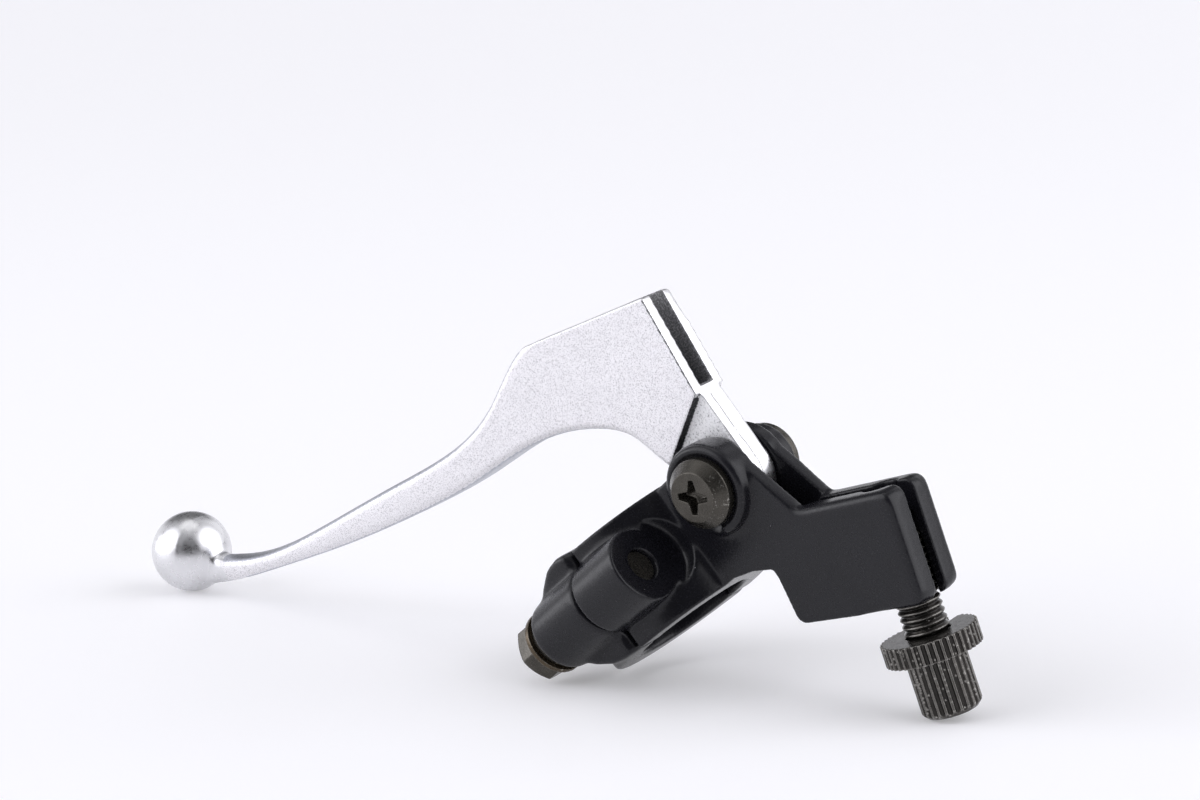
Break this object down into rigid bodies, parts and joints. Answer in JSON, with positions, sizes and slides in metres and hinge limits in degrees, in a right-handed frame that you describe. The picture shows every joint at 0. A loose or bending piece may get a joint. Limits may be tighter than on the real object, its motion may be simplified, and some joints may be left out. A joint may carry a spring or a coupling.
{
  "type": "motorcycle clutch lever assembly",
  "caption": "Left-hand clutch lever with ball end on a two-piece handlebar perch, with pivot screw, clamp bolts and a knurled cable adjuster.",
  "frame": {"origin": "centre line of the handlebar bore, in the plane that halves the lever's thickness", "axes": "+X along the handlebar towards the cable adjuster (inboard), +Y forward from the bar to the lever pivot, +Z along the pivot axis, up"},
  "size_m": [0.1275, 0.1663, 0.0468],
  "materials": {
    "black_paint": "semi-gloss black paint on die casting",
    "cast_aluminium": "blasted faces with polished edges and ball",
    "dark_steel": "dark brown-black oxide"
  },
  "bodies": {
    "perch": {"perch_body": "black_paint", "clamp_cap": "black_paint", "pivot_screw": "dark_steel", "pivot_nut": "dark_steel", "clamp_bolt_upper": "dark_steel", "clamp_bolt_lower": "dark_steel", "lock_washer_upper": "dark_steel", "lock_washer_lower": "dark_steel", "flat_washer_upper": "dark_steel", "flat_washer_lower": "dark_steel"},
    "lever": {"lever_blade": "cast_aluminium"},
    "adjuster": {"cable_adjuster": "dark_steel"},
    "ring": {"lock_ring": "dark_steel"}
  },
  "joints": [
    {"name": "lever_pivot", "type": "hinge", "parent": "perch", "child": "lever", "pos_m": [-0.0035, 0.0265, 0], "axis": [0, 0, 1], "range_deg": [-105, 0]},
    {"name": "adjuster_slide", "type": "slide", "parent": "perch", "child": "adjuster", "axis": [0.9205, -0.3907, 0], "range_m": [0, 0.006]},
    {"name": "ring_slide", "type": "slide", "parent": "adjuster", "child": "ring", "axis": [0.9205, -0.3907, 0], "range_m": [-0.0058, 0]}
  ]
}
